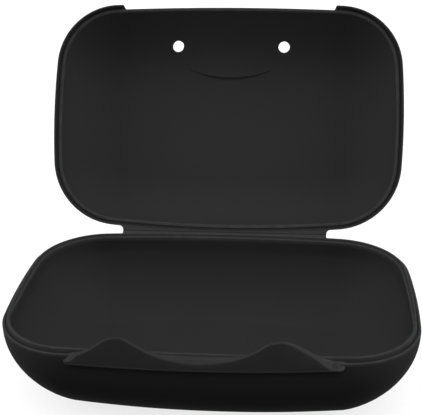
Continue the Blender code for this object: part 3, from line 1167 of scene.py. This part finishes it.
def add_node(
    tree: NodeTree, kind: str, feeds: Feeds | None = None, **choices: str | bool | NodeTree
) -> Node:
    """Add a node, make its choices and then fill its inputs.

    Args:
        tree: Where the node goes.
        kind: Its type, without the "ShaderNode" that all types here start with.
        feeds: A socket to link or a value to set, by the name or number of the input.
        choices: Settings of the node, by their names.

    Returns:
        The node.
    """
    node = tree.nodes.new("ShaderNode" + kind)
    for label, choice in choices.items():
        setattr(node, label, choice)
    for label, feed in (feeds or {}).items():
        if isinstance(feed, Socket):
            tree.links.new(feed, node.inputs[label])
        else:
            node.inputs[label].default_value = feed
    return node


def reckon(tree: NodeTree, operation: str, *feeds: Feed, use_clamp: bool = False) -> Socket:
    """Add a math node with the given inputs and return its result."""
    choices = {"operation": operation, "use_clamp": use_clamp}
    return add_node(tree, "Math", dict(enumerate(feeds)), **choices).outputs["Value"]


def noise(
    tree: NodeTree, point: Socket, scale: Feed, detail: float, roughness: float = 0.5
) -> Socket:
    """Add a noise texture and return its strength."""
    feeds = {"Vector": point, "Scale": scale, "Detail": detail, "Roughness": roughness}
    return add_node(tree, "TexNoise", feeds).outputs["Fac"]


def stretch(tree: NodeTree, value: Socket, ends: tuple[float, float], low: float = 0.0) -> Socket:
    """Stretch what lies between the first and the second end to the range from low to 1."""
    feeds = {"Value": value, "From Min": ends[0], "From Max": ends[1], "To Min": low}
    return add_node(tree, "MapRange", feeds).outputs["Result"]


def grey(level: float) -> tuple[float, ...]:
    """A tone without colour."""
    return (level, level, level, 1.0)


def mix_colour(tree: NodeTree, factor: Socket, first: Socket | Colour, second: Colour) -> Socket:
    """Blend two colours by a mask, from the first where it is 0 to the second where it is 1.

    Args:
        tree: Where the node goes.
        factor: The mask.
        first: The first colour, as a socket or a value.
        second: The second colour.

    Returns:
        The blended colour.
    """
    start = (*first, 1.0) if isinstance(first, tuple) else first
    feeds = {"Factor": factor, MIX_FIRST: start, MIX_SECOND: (*second, 1.0)}
    return add_node(tree, "Mix", feeds, data_type="RGBA").outputs[MIX_RESULT]


@dataclass
class Effects:
    """Node groups that the finishes share, with the scales of their patterns per metre."""

    fine_detail: float = 3.0
    fine_roughness: float = 0.6
    pit_share: float = 0.5
    tone_scale: float = 38.0
    tone_detail: float = 4.0
    rub_scale: float = 420.0
    rub_detail: float = 5.0
    rub_ends: tuple[float, float] = (0.38, 0.72)
    rub_low: float = 0.45
    speck_scale: float = 900.0
    speck_ends: tuple[float, float] = (0.16, 0.05)
    patch_scale: float = 90.0
    patch_detail: float = 3.0
    patch_ends: tuple[float, float] = (0.55, 0.75)

    def __post_init__(self) -> None:
        """Build each group once."""
        self.grain = self.build_grain()
        self.rub_and_highlight = self.build_rub_and_highlight()
        self.dust = self.build_dust()

    @staticmethod
    def new_group(name: str, *labels: str) -> tuple[NodeTree, bpy.types.NodeOutputs]:
        """Start a group.

        Args:
            name: Name of the group.
            labels: Names of its inputs, of which only the point is a vector.

        Returns:
            The group and its inputs.
        """
        group = bpy.data.node_groups.new(name, "ShaderNodeTree")
        for label in labels:
            kind = "NodeSocketVector" if label == "Point" else "NodeSocketFloat"
            group.interface.new_socket(label, in_out="INPUT", socket_type=kind)
        return group, group.nodes.new("NodeGroupInput").outputs

    @staticmethod
    def end_group(group: NodeTree, **results: Socket) -> NodeTree:
        """Give a group its outputs.

        Args:
            group: The group.
            results: What goes out, by the name of the output.

        Returns:
            The group.
        """
        for label in results:
            group.interface.new_socket(label, in_out="OUTPUT", socket_type="NodeSocketFloat")
        end = group.nodes.new("NodeGroupOutput")
        for label, result in results.items():
            group.links.new(result, end.inputs[label])
        return group

    def build_grain(self) -> NodeTree:
        """Make fine spark-eroded grain and the slow change of tone that moulding leaves.

        Returns:
            The group, which gives a height and a tone.
        """
        group, start = self.new_group("moulded_grain", "Point", "Scale")
        point, scale = start["Point"], start["Scale"]
        fine = noise(group, point, scale, self.fine_detail, self.fine_roughness)
        feeds = {"Vector": point, "Scale": scale}
        pits = add_node(group, "TexVoronoi", feeds, feature="SMOOTH_F1").outputs["Distance"]
        height = reckon(group, "MULTIPLY_ADD", pits, self.pit_share, fine)
        tone = noise(group, point, self.tone_scale, self.tone_detail)
        return self.end_group(group, Height=height, Tone=tone)

    def build_rub_and_highlight(self) -> NodeTree:
        """Make broken rub marks along edges, which also carry painted highlight.

        Returns:
            The group, which gives a mask.
        """
        group, start = self.new_group("rubbed_and_highlit_edge", "Point", "Edge")
        broken = noise(group, start["Point"], self.rub_scale, self.rub_detail)
        marks = stretch(group, broken, self.rub_ends, self.rub_low)
        mask = reckon(group, "MULTIPLY", marks, start["Edge"], use_clamp=True)
        return self.end_group(group, Mask=mask)

    def build_dust(self) -> NodeTree:
        """Make sparse pale specks.

        Returns:
            The group, which gives a mask.
        """
        group, start = self.new_group("sparse_dust", "Point")
        feeds = {"Vector": start["Point"], "Scale": self.speck_scale}
        specks = add_node(group, "TexVoronoi", feeds).outputs["Distance"]
        patches = noise(group, start["Point"], self.patch_scale, self.patch_detail)
        dots = stretch(group, specks, self.speck_ends)
        areas = stretch(group, patches, self.patch_ends)
        mask = reckon(group, "MULTIPLY", dots, areas, use_clamp=True)
        return self.end_group(group, Mask=mask)


@dataclass(frozen=True)
class PlasticFinish:
    """A moulded plastic: its tones, its gloss and how strong its fine marks are."""

    name: str
    colour: Colour
    # Lighter colour of rubbed edges; it also paints highlight on edges that should catch the
    # light.
    worn_and_highlight_colour: Colour
    dust_colour: Colour
    roughness: float
    worn_roughness: float
    specular: float
    grain_size: float
    grain_depth: float
    tone_change: float
    dust: float
    wear_and_highlight: float
    gloss_change: float = 0.12
    grain_strength: float = 0.35

    def material(self, effects: Effects) -> bpy.types.Material:
        """Make the material.

        Args:
            effects: The shared node groups.

        Returns:
            The material.
        """
        material = bpy.data.materials.new(self.name)
        material.use_nodes = True
        tree = material.node_tree
        tree.nodes.clear()
        point = add_node(tree, "TexCoord").outputs["Object"]
        edge = add_node(tree, "Attribute", attribute_name=WEAR_AND_HIGHLIGHT_LAYER).outputs["Fac"]
        feeds = {"Point": point, "Scale": 1.0 / self.grain_size}
        grain = add_node(tree, "Group", feeds, node_tree=effects.grain).outputs
        feeds = {"Point": point, "Edge": edge}
        rub_and_highlight = add_node(tree, "Group", feeds, node_tree=effects.rub_and_highlight).outputs["Mask"]
        dust = add_node(tree, "Group", {"Point": point}, node_tree=effects.dust).outputs["Mask"]
        darker = tuple(value * (1 - self.tone_change) for value in self.colour)
        lighter = tuple(value * (1 + self.tone_change) for value in self.colour)
        tone = mix_colour(tree, grain["Tone"], darker, lighter)
        # Edges turn towards the worn colour: rub marks and painted highlight in one mask.
        worn_and_highlit = mix_colour(tree, reckon(tree, "MULTIPLY", rub_and_highlight, self.wear_and_highlight), tone, self.worn_and_highlight_colour)
        dust_share = reckon(tree, "MULTIPLY", dust, self.dust)
        rub_change = self.worn_roughness - self.roughness
        even = reckon(tree, "MULTIPLY_ADD", rub_and_highlight, rub_change, self.roughness)
        feeds = {
            "Strength": self.grain_strength,
            "Distance": self.grain_depth,
            "Height": grain["Height"],
        }
        bump = add_node(tree, "Bump", feeds)
        feeds = {
            "Base Color": mix_colour(tree, dust_share, worn_and_highlit, self.dust_colour),
            "Roughness": reckon(tree, "MULTIPLY_ADD", grain["Tone"], self.gloss_change, even),
            "Normal": bump.outputs["Normal"],
            "Specular IOR Level": self.specular,
        }
        shader = add_node(tree, "BsdfPrincipled", feeds)
        add_node(tree, "OutputMaterial", {"Surface": shader.outputs[0]})
        return material


SHELL_FINISH = PlasticFinish(
    name="black_moulded_plastic",
    colour=(0.02, 0.02, 0.0204),
    worn_and_highlight_colour=(0.042, 0.042, 0.043),
    dust_colour=(0.11, 0.11, 0.105),
    roughness=0.6,
    worn_roughness=0.5,
    specular=0.006,
    grain_size=0.00035,
    grain_depth=0.00002,
    tone_change=0.06,
    dust=0.2,
    wear_and_highlight=0.6,
)

# The film's plastic is painted lighter than the shells' to stand for the highlight on the
# up-facing strap.
FILM_FINISH = PlasticFinish(
    name="film_plastic_painted_lighter",
    colour=(0.028, 0.028, 0.0292),
    worn_and_highlight_colour=(0.055, 0.055, 0.058),
    dust_colour=(0.12, 0.12, 0.12),
    roughness=0.38,
    worn_roughness=0.3,
    specular=0.03,
    grain_size=0.0006,
    grain_depth=0.00001,
    tone_change=0.1,
    dust=0.2,
    wear_and_highlight=0.4,
)


@dataclass(frozen=True)
class SoftLight:
    """A broad soft light in the sky: where it stands, seen from the case, and its level."""

    azimuth: float
    elevation: float
    level: float
    power: float = 12.0

    @property
    def direction(self) -> Vector:
        """Find the direction from the case; azimuth 0 is the latch side and 90 the right.

        Returns:
            The direction, of length 1.
        """
        azimuth, elevation = math.radians(self.azimuth), math.radians(self.elevation)
        flat = Vector((math.sin(azimuth), -math.cos(azimuth), 0.0)) * math.cos(elevation)
        return flat + Vector((0.0, 0.0, math.sin(elevation)))


@dataclass(frozen=True)
class FillLamp:
    """A weak flat lamp over the tray that shines up into the lid."""

    name: str
    place: tuple[float, float, float]
    size: tuple[float, float]
    power: float
    tilt: float = 0.0


@dataclass(frozen=True)
class Studio:
    """Pale floor, soft light from all sides but the front, and the photograph's camera."""

    camera_place: tuple[float, float, float] = (0.020677, -0.235184, 0.150494)
    camera_yaw: float = math.radians(-5.158)
    camera_pitch: float = math.radians(23.171)
    camera_roll: float = math.radians(-0.835)
    lens: float = 80.969
    sensor: float = 36.0
    clip: tuple[float, float] = (0.01, 20.0)
    floor_size: float = 6.0
    floor_drop: float = 0.0001
    floor_shade: float = 0.22
    floor_bounce: float = 0.02
    lights: tuple[SoftLight, ...] = (
        SoftLight(azimuth=0.0, elevation=90.0, level=1.13),
        SoftLight(azimuth=0.0, elevation=10.0, level=0.55),
        SoftLight(azimuth=-60.0, elevation=60.0, level=3.76),
        SoftLight(azimuth=60.0, elevation=60.0, level=3.76),
        SoftLight(azimuth=-90.0, elevation=10.0, level=7.4),
        SoftLight(azimuth=90.0, elevation=10.0, level=7.4),
        SoftLight(azimuth=180.0, elevation=15.0, level=6.0),
    )
    fills: tuple[FillLamp, ...] = (
        FillLamp("fill_up", (0.0, -0.018, 0.0275), (0.07, 0.04), 0.068),
        FillLamp("fill_back", (0.0, 0.01, 0.03), (0.07, 0.02), 0.01, math.radians(25.0)),
    )

    def place_camera(self) -> None:
        """Put the camera where the photograph was taken from."""
        data = bpy.data.cameras.new("photo_camera")
        data.lens = self.lens
        data.sensor_width = self.sensor
        data.clip_start, data.clip_end = self.clip
        camera = bpy.data.objects.new("photo_camera", data)
        bpy.context.scene.collection.objects.link(camera)
        turned = Matrix.Rotation(-self.camera_yaw, 4, "Z")
        tipped = Matrix.Rotation(math.pi / 2 - self.camera_pitch, 4, "X")
        rolled = Matrix.Rotation(self.camera_roll, 4, "Z")
        camera.matrix_world = Matrix.Translation(self.camera_place) @ turned @ tipped @ rolled
        bpy.context.scene.camera = camera

    @staticmethod
    def split_rays(tree: NodeTree, output: str, unseen: Node, seen: Node) -> None:
        """Show one shader to rays from the camera, from gloss and through glass, one to the rest.

        Args:
            tree: Where the nodes go.
            output: Type of the output node, as add_node takes it.
            unseen: The shader that only lights the case.
            seen: The shader that shows.
        """
        path = add_node(tree, "LightPath").outputs
        shown = path["Is Camera Ray"]
        for label in ("Is Glossy Ray", "Is Transmission Ray"):
            shown = reckon(tree, "MAXIMUM", shown, path[label])
        mix = add_node(tree, "MixShader", {"Fac": shown, 1: unseen.outputs[0], 2: seen.outputs[0]})
        add_node(tree, output, {"Surface": mix.outputs[0]})

    def build_floor(self) -> None:
        """Make the floor, white to the eye and with the case's soft shadow."""
        shape = bmesh.new()
        bmesh.ops.create_grid(shape, x_segments=1, y_segments=1, size=self.floor_size / 2)
        shape.transform(Matrix.Translation((0.0, 0.0, -self.floor_drop)))
        floor = mesh_object("floor", shape)
        material = bpy.data.materials.new("pale_floor")
        material.use_nodes = True
        tree = material.node_tree
        tree.nodes.clear()
        bounce = add_node(tree, "BsdfDiffuse", {"Color": grey(self.floor_bounce)})
        shadow = add_node(tree, "BsdfDiffuse", {"Color": grey(self.floor_shade)})
        glow = add_node(tree, "Emission", {"Color": WHITE, "Strength": 1.0 - self.floor_shade})
        both = add_node(tree, "AddShader", {0: shadow.outputs[0], 1: glow.outputs[0]})
        self.split_rays(tree, "OutputMaterial", bounce, both)
        floor.data.materials.append(material)

    def build_world(self) -> None:
        """Light from above, the sides and behind, less from the front, on a white background."""
        world = bpy.data.worlds.new("studio")
        bpy.context.scene.world = world
        world.use_nodes = True
        tree = world.node_tree
        tree.nodes.clear()
        ray = add_node(tree, "TexCoord").outputs["Generated"]
        total: Feed = 0.0
        for light in self.lights:
            feeds = {0: ray, 1: light.direction}
            facing = add_node(tree, "VectorMath", feeds, operation="DOT_PRODUCT").outputs["Value"]
            narrow = reckon(tree, "POWER", reckon(tree, "MAXIMUM", facing, 0.0), light.power)
            total = reckon(tree, "MULTIPLY_ADD", narrow, light.level, total)
        lit = add_node(tree, "Background", {"Color": WHITE, "Strength": total})
        white = add_node(tree, "Background", {"Color": WHITE})
        self.split_rays(tree, "OutputWorld", lit, white)

    def build_fills(self) -> None:
        """Throw soft light from over the tray up into the lid and towards its foot."""
        for fill in self.fills:
            data = bpy.data.lights.new(fill.name, "AREA")
            data.shape = "ELLIPSE"
            data.size, data.size_y = fill.size
            data.energy = fill.power
            lamp = bpy.data.objects.new(fill.name, data)
            lamp.location = fill.place
            lamp.rotation_euler = (math.pi - fill.tilt, 0.0, 0.0)
            lamp.visible_camera = False
            lamp.visible_glossy = False
            bpy.context.scene.collection.objects.link(lamp)

    def build(self) -> None:
        """Set up floor, light, camera and plain colour handling."""
        self.build_floor()
        self.build_world()
        self.build_fills()
        self.place_camera()
        bpy.context.scene.view_settings.view_transform = "Standard"


def report(piece: Object, body: str) -> None:
    """Log a piece, how many faces it has and what it rides on."""
    LOG.info("%s: %d faces, rides on %s", piece.name, len(piece.data.polygons), body)


def main() -> None:
    """Build the pieces in order, dress them and set up the studio."""
    logging.basicConfig(level=logging.INFO, format="%(name)s %(message)s")
    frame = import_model()
    joint = frame["joints"][0]
    hinge = Vector(joint["pos_m"])
    opening = math.radians(-joint["range_deg"][0])
    rim = Rim()
    tray_low, tray_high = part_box("base_tray")
    ledge = hinge.z - rim.clearance / 2
    plan = CasePlan(half_width=tray_high.x, half_depth=tray_high.y)
    effects = Effects()
    shell_plastic = SHELL_FINISH.material(effects)
    film_plastic = FILM_FINISH.material(effects)

    tray = Tray(plan, rim, ledge - tray_low.z).build()
    lip = LatchLip(plan, ledge).build()
    lid = Lid(plan, rim, ledge, hinge, opening).build()
    strap = HingeStrap(plan, rim, ledge, hinge, opening).build()
    for piece in (tray, lip, lid):
        piece.data.materials.append(shell_plastic)
    strap.data.materials.append(film_plastic)
    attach(tray, "tray")
    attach(lip, "tray")
    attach(lid, "lid")
    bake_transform(strap)
    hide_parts("base_tray")
    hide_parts("base_tray")
    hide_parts("lid_shell")
    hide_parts("hinge_film")
    for piece, body in ((tray, "tray"), (lip, "tray"), (lid, "lid"), (strap, "tray and lid")):
        report(piece, body)
    Studio().build()


if __name__ == "__main__":
    main()
